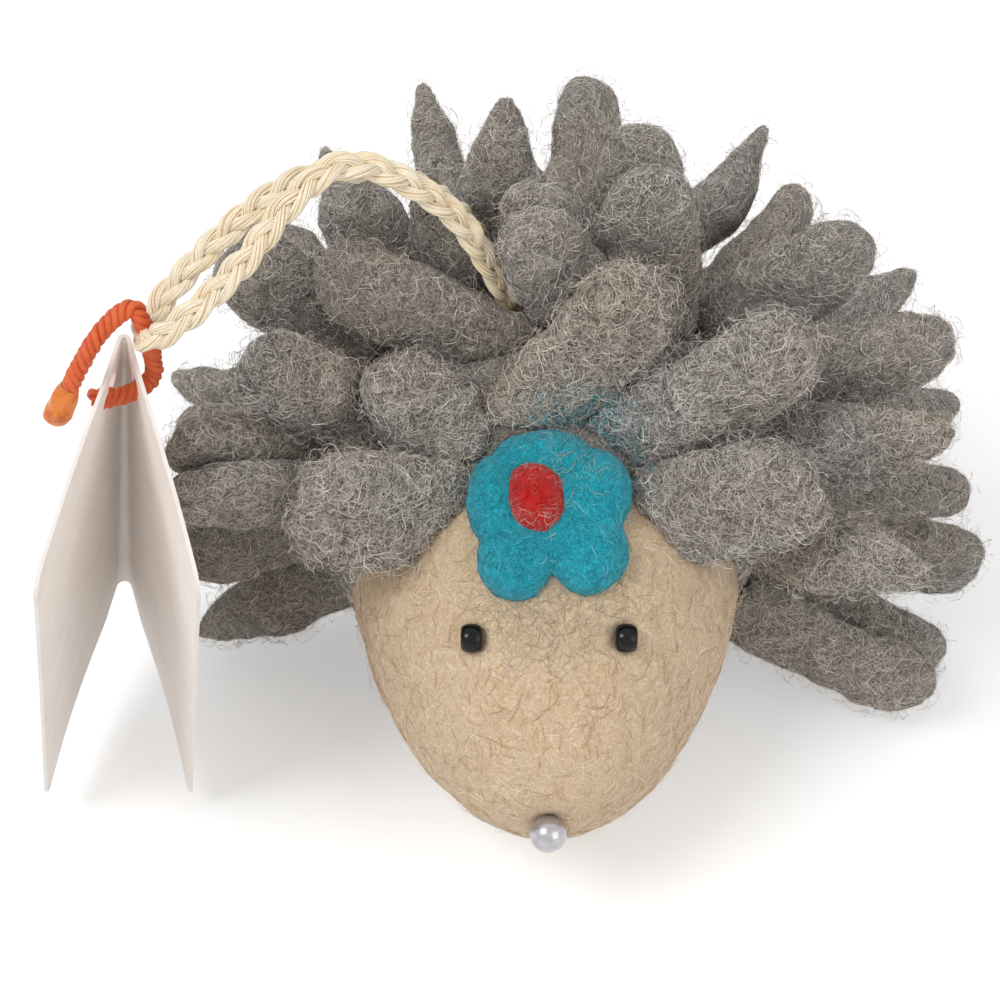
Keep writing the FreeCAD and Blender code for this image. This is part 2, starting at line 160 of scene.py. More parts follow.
# ---------------------------------------------------------------- material helpers
def material(name, roughness, **sockets):
    made = bpy.data.materials.new(name)
    made.use_nodes = True
    shader = made.node_tree.nodes["Principled BSDF"]
    shader.inputs["Roughness"].default_value = roughness
    for socket, value in sockets.items():
        shader.inputs[socket.replace("_", " ")].default_value = value
    return made


def add_node(made, kind, **values):
    """A shader node with its sockets or properties set by name."""
    added = made.node_tree.nodes.new(kind)
    for name, value in values.items():
        socket = name.replace("_", " ")
        if socket in added.inputs:
            added.inputs[socket].default_value = value
        else:
            setattr(added, name, value)
    return added


def link(made, source, target):
    made.node_tree.links.new(source, target)


def colour(red, green, blue):
    """A linear colour from 0-255 screen values."""
    values = np.array([red, green, blue]) / 255.0
    linear = np.where(values <= 0.04045, values / 12.92, ((values + 0.055) / 1.055) ** 2.4)
    return (*[float(x) for x in linear], 1.0)


def ramp(made, source, stops):
    """A colour ramp fed by source; stops are (place, red, green, blue)."""
    added = made.node_tree.nodes.new("ShaderNodeValToRGB")
    elements = added.color_ramp.elements
    while len(elements) < len(stops):
        elements.new(0.5)
    for element, (place, *tone) in zip(elements, stops):
        element.position = place
        element.color = colour(*tone)
    link(made, source, added.inputs["Fac"])
    return added.outputs["Color"]


def mix(made, factor, first, second, blend="MIX"):
    """Two colours mixed; each of the three may be a socket or a value."""
    added = made.node_tree.nodes.new("ShaderNodeMix")
    added.data_type = "RGBA"
    added.blend_type = blend
    for socket, value in ((added.inputs[0], factor), (added.inputs[6], first), (added.inputs[7], second)):
        if isinstance(value, bpy.types.NodeSocket):
            link(made, value, socket)
        else:
            socket.default_value = value
    return added.outputs[2]


def noise(made, scale, detail=4.0, distortion=0.0, roughness=0.6):
    place = add_node(made, "ShaderNodeTexCoord").outputs["Object"]
    added = add_node(made, "ShaderNodeTexNoise", Scale=scale, Detail=detail, Distortion=distortion,
                     Roughness=roughness)
    link(made, place, added.inputs["Vector"])
    return added.outputs["Fac"]


def value_of(made, name):
    return add_node(made, "ShaderNodeAttribute", attribute_name=name).outputs["Fac"]


def bump(made, height, strength, distance):
    added = add_node(made, "ShaderNodeBump", Strength=strength, Distance=distance)
    link(made, height, added.inputs["Height"])
    link(made, added.outputs["Normal"], made.node_tree.nodes["Principled BSDF"].inputs["Normal"])


def base_colour(made, source):
    link(made, source, made.node_tree.nodes["Principled BSDF"].inputs["Base Color"])


def math_of(made, operation, first, second):
    """A sum, product or the like of two values; second may be a socket or a number."""
    added = add_node(made, "ShaderNodeMath", operation=operation)
    link(made, first, added.inputs[0])
    if isinstance(second, bpy.types.NodeSocket):
        link(made, second, added.inputs[1])
    else:
        added.inputs[1].default_value = second
    return added.outputs[0]


# ---------------------------------------------------------------- materials
CURL_WIDTH = 0.26


def curls(made, scale, levels, distortion):
    """Thin curly lines, 1 along each of a noise's contours, which look like matted fibres."""
    contours = math_of(made, "MULTIPLY", noise(made, scale, 1.0, distortion), levels)
    lines = add_node(made, "ShaderNodeMapRange", From_Max=CURL_WIDTH)
    lines.inputs["To Min"].default_value = 1.0
    lines.inputs["To Max"].default_value = 0.0
    link(made, math_of(made, "PINGPONG", contours, 0.5), lines.inputs["Value"])
    return lines.outputs["Result"]


def felt(name, deep, middle, pale, warm, patch_scale, strength=0.9):
    """Matted wool: two layers of curly fibres over darker wool, and slow patches of another tone."""
    made = material(name, 0.95, Sheen_Weight=0.25, Sheen_Roughness=0.6, Specular_IOR_Level=0.15)
    under = ramp(made, noise(made, 2600.0, 4.0, 0.8), [(0.36, *deep), (0.62, *middle)])
    patches = ramp(made, noise(made, patch_scale, 2.0, 0.4), [(0.42, 0, 0, 0), (0.66, 150, 150, 150)])
    under = mix(made, patches, under, colour(*warm))
    lower = curls(made, 720.0, 11.0, 1.2)
    upper = curls(made, 460.0, 9.0, 2.4)
    wool = under
    for lines, tone, share in ((lower, middle, strength * 0.8), (upper, pale, strength)):
        wool = mix(made, math_of(made, "MULTIPLY", lines, share), wool, colour(*tone))
    base_colour(made, wool)
    bump(made, math_of(made, "ADD", lower, upper), 0.5, 0.12 * MM)
    return made


def fibre(name, stops, warm_stops):
    """Loose wool fibres, each with a shade and a warmth of its own."""
    made = material(name, 0.85, Sheen_Weight=0.3, Sheen_Roughness=0.5, Specular_IOR_Level=0.2)
    shade = value_of(made, "shade")
    base_colour(made, mix(made, value_of(made, "warmth"), ramp(made, shade, stops),
                          ramp(made, shade, warm_stops)))
    return made


GRAY_FELT = felt("gray_felt", (80, 74, 69), (134, 127, 120), (204, 197, 188), (140, 127, 113), 70.0)
BEIGE_FELT = felt("beige_felt", (202, 170, 132), (224, 198, 163), (244, 228, 203), (214, 182, 143), 55.0, 0.7)
TEAL_FELT = felt("turquoise_felt", (0, 124, 142), (2, 164, 184), (44, 198, 214), (0, 142, 160), 160.0, 0.6)
RED_FELT = felt("red_felt", (158, 6, 8), (206, 18, 20), (230, 52, 40), (176, 10, 14), 200.0, 0.6)

GRAY_FIBRE = fibre("gray_felt_fibre",
                   [(0.0, 52, 47, 45), (0.20, 90, 84, 80), (0.26, 166, 160, 154), (0.60, 210, 204, 198),
                    (1.0, 244, 240, 234)],
                   [(0.0, 58, 47, 40), (0.20, 104, 89, 76), (0.26, 176, 158, 140), (0.60, 214, 200, 183),
                    (1.0, 244, 234, 221)])
BEIGE_FIBRE = fibre("beige_felt_fibre",
                    [(0.0, 166, 128, 96), (0.12, 190, 156, 122), (0.30, 218, 190, 156), (0.65, 240, 220, 192),
                     (1.0, 252, 242, 226)],
                    [(0.0, 150, 112, 82), (0.12, 176, 140, 108), (0.30, 202, 170, 136), (0.65, 228, 202, 170),
                     (1.0, 242, 224, 200)])
FUZZ_FIBRE = fibre("gray_fuzz", [(0.0, 128, 124, 116), (0.5, 172, 168, 158), (1.0, 214, 208, 196)],
                   [(0.0, 126, 116, 100), (0.5, 178, 164, 142), (1.0, 220, 208, 186)])
TEAL_FIBRE = fibre("turquoise_felt_fibre",
                   [(0.0, 0, 116, 134), (0.4, 4, 166, 186), (0.85, 60, 206, 220), (1.0, 150, 224, 230)],
                   [(0.0, 2, 88, 102), (0.4, 10, 130, 148), (0.88, 62, 170, 184), (1.0, 150, 196, 200)])
RED_FIBRE = fibre("red_felt_fibre",
                  [(0.0, 150, 8, 12), (0.75, 216, 26, 26), (0.93, 226, 80, 58), (1.0, 232, 160, 130)],
                  [(0.0, 168, 116, 108), (0.55, 206, 152, 140), (1.0, 230, 200, 186)])

GLASS = material("black_bead", 0.05, Specular_IOR_Level=0.28)
base_colour(GLASS, ramp(GLASS, noise(GLASS, 900.0, 2.0), [(0.3, 4, 4, 6), (0.8, 12, 11, 14)]))

PEARL = material("pearl", 0.24, Coat_Weight=0.8, Coat_Roughness=0.05, Metallic=0.7)
base_colour(PEARL, ramp(PEARL, noise(PEARL, 500.0, 3.0, 0.5), [(0.3, 158, 156, 160), (0.7, 198, 196, 198)]))
bump(PEARL, noise(PEARL, 2600.0, 2.0), 0.05, 0.00004)

COTTON = material("cream_cord", 0.42, Sheen_Weight=0.3, Sheen_Roughness=0.35, Specular_IOR_Level=0.5)
# low shade values give the cores' painted shade between threads and the browner root; high values the pale
# threads
base_colour(COTTON, mix(COTTON, 0.25,
                        ramp(COTTON, value_of(COTTON, "shade"),
                             [(0.0, 148, 112, 80), (0.3, 222, 186, 140), (0.6, 250, 230, 194),
                              (1.0, 255, 249, 230)]),
                        ramp(COTTON, noise(COTTON, 1800.0, 4.0, 1.0), [(0.3, 214, 180, 130),
                                                                      (0.6, 252, 240, 212)])))
bump(COTTON, noise(COTTON, 6000.0, 3.0, 1.5), 0.3, 0.00006)

YARN = material("orange_yarn", 0.5, Sheen_Weight=0.2, Sheen_Roughness=0.4, Specular_IOR_Level=0.4)
# the shade attribute's dark end is painted shade in the grooves between plies, its light end painted
# highlight on the crests
base_colour(YARN, mix(YARN, 0.3,
                      ramp(YARN, value_of(YARN, "shade"), [(0.0, 132, 30, 8), (0.5, 206, 74, 28),
                                                           (1.0, 232, 112, 58)]),
                      ramp(YARN, noise(YARN, 2600.0, 3.0, 1.0), [(0.35, 178, 52, 16), (0.65, 232, 112, 60)])))
bump(YARN, noise(YARN, 5200.0, 3.0, 1.5), 0.4, 0.00008)

WAX = material("amber_wax", 0.28, Coat_Weight=0.3, Coat_Roughness=0.15)
base_colour(WAX, ramp(WAX, noise(WAX, 700.0, 4.0, 0.6), [(0.32, 196, 92, 20), (0.52, 228, 128, 36),
                                                        (0.75, 232, 116, 64)]))
bump(WAX, noise(WAX, 1500.0, 3.0), 0.4, 0.0002)

CARD = material("white_card", 0.6, Specular_IOR_Level=0.3)
base_colour(CARD, ramp(CARD, noise(CARD, 160.0, 4.0, 0.6), [(0.3, 243, 234, 226), (0.7, 250, 244, 239)]))
bump(CARD, noise(CARD, 3000.0, 4.0), 0.12, 0.00005)


# ---------------------------------------------------------------- cord lines
# The part's routes, in millimetres. The loop's end and the tie's run beside the card are moved a
# little to follow the photograph.
CORD_ROUTE = [
    (-2.9, -3.3, 52.6), (-6.0, -4.9, 62.6), (-10.2, -6.9, 72.1), (-19.8, -9.3, 80.2),
    (-25.6, -13.2, 77.6), (-30.9, -17.1, 71.4), (-38.2, -21.6, 66.8), (-41.5, -18.7, 63.8),
    (-40.4, -14.3, 64.3), (-34.2, -11.0, 70.3), (-26.1, -8.2, 76.3), (-18.2, -5.3, 76.0),
    (-10.9, -1.7, 69.1), (-6.2, 0.6, 60.6), (-3.3, 1.7, 52.6),
]
YARN_ROUTE = [
    (-50.2, -22.5, 57.0), (-47.8, -22.3, 61.8), (-45.2, -20.6, 66.2), (-41.8, -17.6, 68.0),
    (-40.6, -18.5, 66.0), (-40.4, -16.0, 54.6), (-45.9, -19.4, 56.8),
]


def smooth_line(name, route):
    """The NURBS line with the route's points as its control points."""
    curve = bpy.data.curves.new(name, "CURVE")
    curve.dimensions = "3D"
    spline = curve.splines.new("NURBS")
    spline.points.add(len(route) - 1)
    for point, place in zip(spline.points, route):
        point.co = (place[0] * MM, place[1] * MM, place[2] * MM, 1.0)
    spline.order_u = 3
    spline.use_endpoint_u = True
    spline.resolution_u = 24
    holder = bpy.data.objects.new(name, curve)
    mesh = bpy.data.meshes.new_from_object(holder)
    line = np.array([vertex.co[:] for vertex in mesh.vertices])
    bpy.data.objects.remove(holder)
    bpy.data.curves.remove(curve)
    bpy.data.meshes.remove(mesh)
    return line


def evenly(line, step):
    """The line again with points an even step apart, and how far along each is."""
    along = np.concatenate([[0.0], np.cumsum(np.linalg.norm(np.diff(line, axis=0), axis=1))])
    at = np.linspace(0.0, along[-1], int(along[-1] / step) + 1)
    return np.stack([np.interp(at, along, line[:, axis]) for axis in range(3)], axis=1), at


def wobble(rng, count, step, reach):
    """A slow random wave with that many values, about reach high, turning over every step values."""
    knots = rng.normal(0.0, reach, count // step + 3)
    wide = np.interp(np.arange(count), np.arange(len(knots)) * step, knots)
    kernel = np.hanning(step + 2)
    return np.convolve(wide, kernel / kernel.sum(), "same")


# ---------------------------------------------------------------- braided cord
BRAID_STEP = 0.35 * MM
BRAID_TURN = 10.8 * MM
BRAID_SIDE = 0.86 * MM
BRAID_LIFT = 0.46 * MM
STRAND_WIDE = 0.50 * MM
STRAND_HIGH = 0.40 * MM
THREADS = 16
THREAD_RADIUS = 0.125 * MM
THREAD_SIDES = 5
THREAD_TWIST = 11.0 * MM
CORE_SIDES = 8
FLAT_TOWARDS = np.array([0.0, -0.62, 0.78])

cord_line = smooth_line("hanging_cord_line", CORD_ROUTE)
line, at = evenly(cord_line, BRAID_STEP)
across, normal = frames_along(line, FLAT_TOWARDS)
rng = np.random.default_rng(11)
# the braid is thinner and browner where it comes out of the wool
from_root = np.minimum(at, at[-1] - at)
girth = 0.64 + 0.36 * np.clip(from_root / (16 * MM), 0.0, 1.0) ** 0.7
root = 1 - np.clip((from_root - 2 * MM) / (10 * MM), 0.0, 1.0)
parts = []
painted_shade_and_tone = []
for strand in range(3):
    phase = 2 * math.pi * (at / BRAID_TURN + strand / 3)
    side = BRAID_SIDE * np.sin(phase) * girth
    lift = BRAID_LIFT * np.sin(2 * phase) * girth
    middle = line + across * side[:, None] + normal * lift[:, None]
    along = unit(np.gradient(middle, axis=0))
    wide = unit(np.cross(along, normal))
    high = np.cross(wide, along)
    # each strand's core gets shade 0.25, darker than its threads: a painted shade that shows in the gaps
    # between them
    parts.append(tube(middle, wide * STRAND_WIDE, high * STRAND_HIGH, girth, CORE_SIDES))
    painted_shade_and_tone.append(np.full(len(at) * CORE_SIDES, 0.25))
    strand_tone = wobble(rng, len(at), 20, 0.08)
    for thread in range(THREADS):
        angle = 2 * math.pi * (thread / THREADS + at / THREAD_TWIST) + wobble(rng, len(at), 16, 0.22)
        out = girth * (1 + wobble(rng, len(at), 10, 0.08))
        path = middle + wide * (np.cos(angle) * STRAND_WIDE * out)[:, None]
        path = path + high * (np.sin(angle) * STRAND_HIGH * out)[:, None]
        radii = THREAD_RADIUS * girth * (1 + wobble(rng, len(at), 8, 0.10))
        parts.append(tube(path, *frames_along(path, FLAT_TOWARDS), radii, THREAD_SIDES))
        tone = 0.80 + rng.normal(0, 0.08) + strand_tone + wobble(rng, len(at), 12, 0.08) - 0.52 * root
        painted_shade_and_tone.append(np.repeat(tone, THREAD_SIDES))
braid = mesh_object("hanging_cord_braid", *joined(parts))
point_values(braid, "shade", np.clip(np.concatenate(painted_shade_and_tone), 0, 1))
add_piece(braid, [COTTON], "cream_cord", "ornament", "hanging_cord")

# ---------------------------------------------------------------- orange tie
YARN_STEP = 0.16 * MM
YARN_PITCH = 3.6 * MM
PLIES = 4
PLY_RADIUS = 0.43 * MM
PLY_OUT = 0.56 * MM


def plied(path_line, rng, sides, scale=1.0, pitch=YARN_PITCH):
    """A yarn of twisted plies along a line: points, faces and a shade for each point, which paints shade in
    the grooves between plies and lighter crests, with a little random tone.
    """
    line, at = evenly(path_line, YARN_STEP)
    tangent = unit(np.gradient(line, axis=0))
    guide = unit(np.cross(tangent[0], (0.3, 0.2, 0.9)))
    frames = []
    for direction in tangent:
        guide = unit(guide - direction * (guide @ direction))
        frames.append(guide)
    across = np.array(frames)
    normal = np.cross(across, tangent)
    parts = []
    painted_shade_and_tone = []
    for ply in range(PLIES):
        angle = 2 * math.pi * (at / pitch + ply / PLIES) + wobble(rng, len(at), 24, 0.12)
        out = PLY_OUT * scale * (1 + wobble(rng, len(at), 14, 0.06))
        path = line + across * (np.cos(angle) * out)[:, None] + normal * (np.sin(angle) * out)[:, None]
        radii = PLY_RADIUS * scale * (1 + wobble(rng, len(at), 12, 0.07))
        radii[:3] *= (0.3, 0.7, 0.9)
        radii[-3:] *= (0.9, 0.7, 0.3)
        along = unit(np.gradient(path, axis=0))
        beside = unit(np.cross(along, path - line))
        points, faces = tube(path, beside, np.cross(beside, along), radii, sides)
        parts.append((points, faces))
        # painted shade and highlight: each point is darker the nearer it lies to the yarn's middle, in the
        # grooves between plies, and lighter out on the plies' crests
        depth = np.linalg.norm(points - np.repeat(line, sides, axis=0), axis=1)
        painted_shade_and_tone.append(0.10 + 0.80 * np.clip(depth / ((PLY_OUT + PLY_RADIUS) * scale), 0, 1) ** 3
                      + rng.normal(0, 0.03) + np.repeat(wobble(rng, len(at), 10, 0.06), sides))
    return (*joined(parts), np.clip(np.concatenate(painted_shade_and_tone), 0, 1))


rng = np.random.default_rng(12)
yarn_line = smooth_line("yarn_tie_line", YARN_ROUTE)
*form, shade = plied(yarn_line, rng, 12)
yarn = mesh_object("yarn_tie_twist", *form)
point_values(yarn, "shade", shade)
add_piece(yarn, [YARN], "orange_yarn", "tie", "yarn_tie")

# an overhand knot at the tie's end
turn = np.linspace(0, 2 * math.pi, 90)
knot_line = np.stack([np.sin(turn) + 2 * np.sin(2 * turn), np.cos(turn) - 2 * np.cos(2 * turn),
                      -1.3 * np.sin(3 * turn)], axis=1) * 0.36 * MM + np.array(YARN_ROUTE[-1]) * MM
*form, shade = plied(knot_line, rng, 8, 0.62, 2.4 * MM)
knot = mesh_object("yarn_tie_knot", *form)
point_values(knot, "shade", shade)
add_piece(knot, [YARN], "orange_yarn", "tie")

# the tail's end is dipped in amber wax
TAIL_LENGTH = 4.4 * MM
WAX_SIDES = 32
line, at = evenly(yarn_line, 0.1 * MM)
line = line[at <= TAIL_LENGTH]
outward = unit(line[0] - line[4])
line = np.concatenate([line[0] + outward * np.array([0.5, 0.4, 0.25, 0.1])[:, None] * MM, line])
radii = np.interp(np.linspace(0, 1, len(line)), [0, 0.01, 0.05, 0.1, 0.3, 0.55, 0.85, 1.0],
                  np.array([0.05, 0.75, 1.15, 1.32, 1.48, 1.36, 1.12, 0.96]) * MM)
points, faces = tube(line, *frames_along(line, FLAT_TOWARDS), radii, WAX_SIDES)
middle = np.repeat(line, WAX_SIDES, axis=0)
points = middle + (points - middle) * (1 + 0.06 * waves_at(points, rng, 1.2 * MM))[:, None]
wax = mesh_object("yarn_tie_wax_tip", points, faces)
add_piece(wax, [WAX], "orange_yarn", "tie")


# ---------------------------------------------------------------- felt forms
FLOOR_GAP = 0.02 * MM


def solid_of(nodes):
    """The CAD solids of some nodes as one lot of points and triangles."""
    parts = []
    for node in nodes:
        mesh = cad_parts[node].data
        mesh.calc_loop_triangles()
        points = np.empty(len(mesh.vertices) * 3, np.float32)
        mesh.vertices.foreach_get("co", points)
        corners = np.empty(len(mesh.loop_triangles) * 3, np.int32)
        mesh.loop_triangles.foreach_get("vertices", corners)
        parts.append((points.reshape(-1, 3), corners.reshape(-1, 3)))
    return joined(parts)


def felt_form(solid, voxel, rounds, grow, lumps, lump_scale, seed):
    """A solid as one even mesh of quads, its corners rounded, with the felt's lumps."""
    thing = mesh_object("form", *solid)
    even = thing.modifiers.new("even", "REMESH")
    even.mode = "VOXEL"
    even.voxel_size = voxel
    soft = thing.modifiers.new("soft", "SMOOTH")
    soft.factor = 0.5
    soft.iterations = rounds
    rough = thing.data
    mesh = bpy.data.meshes.new_from_object(thing.evaluated_get(bpy.context.evaluated_depsgraph_get()))
    points = np.empty(len(mesh.vertices) * 3)
    mesh.vertices.foreach_get("co", points)
    normals = np.empty(len(mesh.vertices) * 3)
    mesh.vertices.foreach_get("normal", normals)
    quads = np.empty(len(mesh.loops), np.int32)
    mesh.loops.foreach_get("vertex_index", quads)
    bpy.data.objects.remove(thing)
    bpy.data.meshes.remove(rough)
    bpy.data.meshes.remove(mesh)
    points = points.reshape(-1, 3)
    rng = np.random.default_rng(seed)
    height = waves_at(points, rng, lump_scale) + 0.4 * waves_at(points, rng, 0.35 * lump_scale)
    points = points + normals.reshape(-1, 3) * (grow + lumps * height)[:, None]
    points[:, 2] = np.maximum(points[:, 2], FLOOR_GAP)
    return points, quads.reshape(-1, 4)


def quads_of(form):
    """The middle, facing and area of each quad."""
    points, quads = form
    a, b, c, d = (points[quads[:, corner]] for corner in range(4))
    facing = np.cross(c - a, d - b)
    return (a + b + c + d) / 4, unit(facing), np.linalg.norm(facing, axis=1) / 2


# ---------------------------------------------------------------- loose fibres
WARM_PATCH = 11 * MM


class Fibres:
    """Curly fibres that lie on a felt form and dip back into it, as thin ribbons."""

    def __init__(self, form, share, density, rng, length, width, lift, stray, bend, warmth, runs=5):
        """share is how much of each quad takes fibres, and density is fibres to a square millimetre.

        Lengths, widths and lifts are in metres. stray is the share of fibres that stand out of the
        felt, bend how much a fibre turns from run to run and warmth the tone that they vary around.
        """
        points, quads = form
        a, b, c, d = (points[quads[:, corner]] for corner in range(4))
        _, facing, area = quads_of(form)
        open_area = area * share
        count = int(density * open_area.sum() / MM ** 2)
        chosen = rng.choice(len(quads), count, p=open_area / open_area.sum())
        u, v = rng.random((2, count, 1))
        place = (a[chosen] * (1 - u) * (1 - v) + b[chosen] * u * (1 - v)
                 + c[chosen] * u * v + d[chosen] * (1 - u) * v)
        self.count = count
        self.runs = runs
        self.shade = rng.random(count)
        patches = 0.30 * waves_at(place, rng, WARM_PATCH)
        self.warmth = np.clip(warmth + patches + rng.normal(0, 0.15, count), 0, 1)
        tree = BVHTree.FromPolygons(points.tolist(), quads.tolist())
        out = facing[chosen]
        heading = rng.normal(0, 1, (count, 3))
        heading = unit(heading - out * (heading * out).sum(1, keepdims=True))
        step = (length * rng.uniform(0.5, 1.5, count) / runs)[:, None]
        curl = rng.normal(0, bend, count)
        is_stray = rng.random(count) < stray
        rise = lift * np.where(is_stray, rng.uniform(2.5, 8, count), rng.uniform(0.1, 1.7, count))
        lean = rng.uniform(-1.2, 1.2, count)
        wide = width * rng.uniform(0.7, 1.4, count)
        spine = []
        sides = []
        for run in range(runs + 1):
            along = run / runs
            loose = math.sin(0.75 * math.pi * along) * rise
            laid = math.sin(math.pi * along) * rise - 0.35 * lift
            spine.append(place + out * np.where(is_stray, loose, laid)[:, None])
            taper = 0.35 + 0.65 * math.sin(math.pi * min(max(along, 0.12), 0.9))
            across = np.cross(out, heading)
            side = across * np.cos(lean)[:, None] + out * np.sin(lean)[:, None]
            sides.append(side * (wide * taper / 2)[:, None])
            met = [tree.find_nearest(point) for point in (place + heading * step).tolist()]
            place = np.array([hit[0][:] for hit in met])
            out = np.array([hit[1][:] for hit in met])
            turn = (curl + rng.normal(0, 0.5 * bend, count))[:, None]
            heading = heading * np.cos(turn) + np.cross(out, heading) * np.sin(turn)
            heading = unit(heading - out * (heading * out).sum(1, keepdims=True))
        spine = np.stack(spine, axis=1)
        sides = np.stack(sides, axis=1)
        ribbons = np.stack([spine - sides, spine + sides], axis=2).reshape(-1, 3)
        ribbons[:, 2] = np.maximum(ribbons[:, 2], FLOOR_GAP)
        strip = grid_faces(runs + 1, 2, closed=False)
        each = (runs + 1) * 2
        self.form = ribbons, (np.arange(count)[:, None, None] * each + strip[None]).reshape(-1, 4)

    def to_points(self, values):
        return np.repeat(values, (self.runs + 1) * 2)


# ---------------------------------------------------------------- felt pieces
BODY_SHARE = 0.8


def bake_map(form, lots):
    """Each quad's corners on the square map: six views of the body below, a cell for each fibre above."""
    points, quads = form
    low = points.min(axis=0)
    corners = ((points - low) / (points.max(axis=0) - low))[quads]
    facing = quads_of(form)[1]
    axis = np.abs(facing).argmax(axis=1)
    view = axis * 2 + (facing[np.arange(len(quads)), axis] > 0)
    right = np.take_along_axis(corners, ((axis + 1) % 3)[:, None, None], 2)[..., 0]
    up = np.take_along_axis(corners, ((axis + 2) % 3)[:, None, None], 2)[..., 0]
    right = ((view % 3)[:, None] + 0.02 + 0.96 * right) / 3
    up = ((view // 3)[:, None] + 0.02 + 0.96 * up) / 2 * BODY_SHARE
    count = sum(lot.count for lot in lots)
    columns = math.ceil(math.sqrt(count / (1 - BODY_SHARE)))
    rows = math.ceil(count / columns)
    cell = np.repeat(np.arange(count), np.repeat([lot.runs for lot in lots], [lot.count for lot in lots]))
    cell_right = ((cell % columns)[:, None] + np.array([0.1, 0.9, 0.9, 0.1])) / columns
    cell_up = ((cell // columns)[:, None] + np.array([0.1, 0.1, 0.9, 0.9])) / rows
    cell_up = BODY_SHARE + (1 - BODY_SHARE) * cell_up
    return np.stack([np.concatenate([right, cell_right]), np.concatenate([up, cell_up])], axis=2)


def felt_piece(name, form, lots, looks, slot, *nodes):
    """A felt body with its lots of loose fibres; the first look is the body's, then one for each lot."""
    faces = [len(form[1])] + [len(lot.form[1]) for lot in lots]
    is_body = np.arange(sum(faces)) < faces[0]
    thing = mesh_object(name, *joined([form] + [lot.form for lot in lots]), smooth=is_body)
    mesh = thing.data
    mesh.polygons.foreach_set("material_index", np.repeat(np.arange(len(faces)), faces))
    bare = [np.full(len(form[0]), 0.5)]
    point_values(thing, "shade", np.concatenate(bare + [lot.to_points(lot.shade) for lot in lots]))
    point_values(thing, "warmth", np.concatenate(bare + [lot.to_points(lot.warmth) for lot in lots]))
    layer = mesh.uv_layers.new(name="OFBake")
    layer.uv.foreach_set("vector", bake_map(form, lots).astype(np.float32).ravel())
    add_piece(thing, looks, slot, "ornament", *nodes)
    return thing


quill_names = sorted(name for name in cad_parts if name.startswith("quill_"))
petal_names = sorted(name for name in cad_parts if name.startswith("flower_petal_"))
# wool joins the petals in the flower's middle, in a flat round as wide as their waists
FLOWER = np.array([0.0, -0.0242, 0.0443])
FLOWER_OUT = np.array([0.0, -0.523, 0.852])
FLOWER_UP = np.array([0.0, 0.852, 0.523])


def flower_round(wide, long, thick, rows=17, columns=32):
    """A flat ball of triangles in the flower's plane."""
    lean, turn = (grid.ravel() for grid in np.meshgrid(np.linspace(0.02, math.pi - 0.02, rows),
                                                       np.linspace(0, 2 * math.pi, columns, endpoint=False),
                                                       indexing="ij"))
    points = (FLOWER + FLOWER_OUT * (0.4 * MM) + FLOWER_UP * MM + np.outer(np.cos(lean) * thick, FLOWER_OUT)
              + np.outer(np.sin(lean) * np.cos(turn) * wide, [1.0, 0, 0])
              + np.outer(np.sin(lean) * np.sin(turn) * long, FLOWER_UP))
    quads = grid_faces(rows, columns)
    ends = [[ring, ring + 1, (rows - 1) * columns * top] for top in (0, 1)
            for ring in range((rows - 1) * columns * top + 1, (rows - 1) * columns * top + columns - 1)]
    return points, np.concatenate([quads[:, :3], quads[:, [0, 2, 3]], np.array(ends)])


joined_petals = joined([solid_of(petal_names), flower_round(7.5 * MM, 6.6 * MM, 2.2 * MM)])
forms = {
    "ball": felt_form(solid_of(["felt_ball"]), 0.9 * MM, 4, 0.10 * MM, 0.25 * MM, 9 * MM, 1),
    "face": felt_form(solid_of(["felt_face"]), 0.6 * MM, 8, 0.12 * MM, 0.14 * MM, 8 * MM, 2),
    "petals": felt_form(joined_petals, 0.35 * MM, 14, 0.25 * MM, 0.10 * MM, 4 * MM, 3),
    "centre": felt_form(solid_of(["flower_centre"]), 0.30 * MM, 6, 0.45 * MM, 0.06 * MM, 3 * MM, 4),
}
# the centre stands a little out of the petals
forms["centre"] = (forms["centre"][0] + FLOWER_OUT * (0.45 * MM), forms["centre"][1])
# the card swings past this quill, so its felt lies close
BESIDE_CARD = "quill_brow_3"
for number, name in enumerate(quill_names):
    grow, lumps = (0.08 * MM, 0.12 * MM) if name == BESIDE_CARD else (0.22 * MM, 0.30 * MM)
    forms[name] = felt_form(solid_of([name]), 0.55 * MM, 4, grow, lumps, 6 * MM, 100 + number)

# fibres that other felt covers are mostly left out
CLOSE = 2.5 * MM
OFF_FELT = 0.35 * MM
COVERED_SHARE = 0.12
all_points, all_quads = joined(list(forms.values()))
everything = BVHTree.FromPolygons(all_points.tolist(), all_quads.tolist())


def openness(form):
    """How much of its fibres each quad keeps: less where other felt lies close over it."""
    middles, facing, _ = quads_of(form)
    starts = middles + facing * OFF_FELT
    met = [everything.ray_cast(start, way, CLOSE)[0] is not None
           for start, way in zip(starts.tolist(), facing.tolist())]
    return np.where(met, COVERED_SHARE, 1.0)


def near(form, place, reach):
    """1 at a place, falling to 0 at reach from it, for each quad."""
    return np.clip(1 - np.linalg.norm(quads_of(form)[0] - place, axis=1) / reach, 0, 1)


FLOWER_TOP = FLOWER + FLOWER_UP * (7 * MM) + np.array([0.003, 0, 0])
# felt nearest the camera shows each fibre, and the rest of it softer tufts
FRONT = ("quill_brow", "quill_crown")

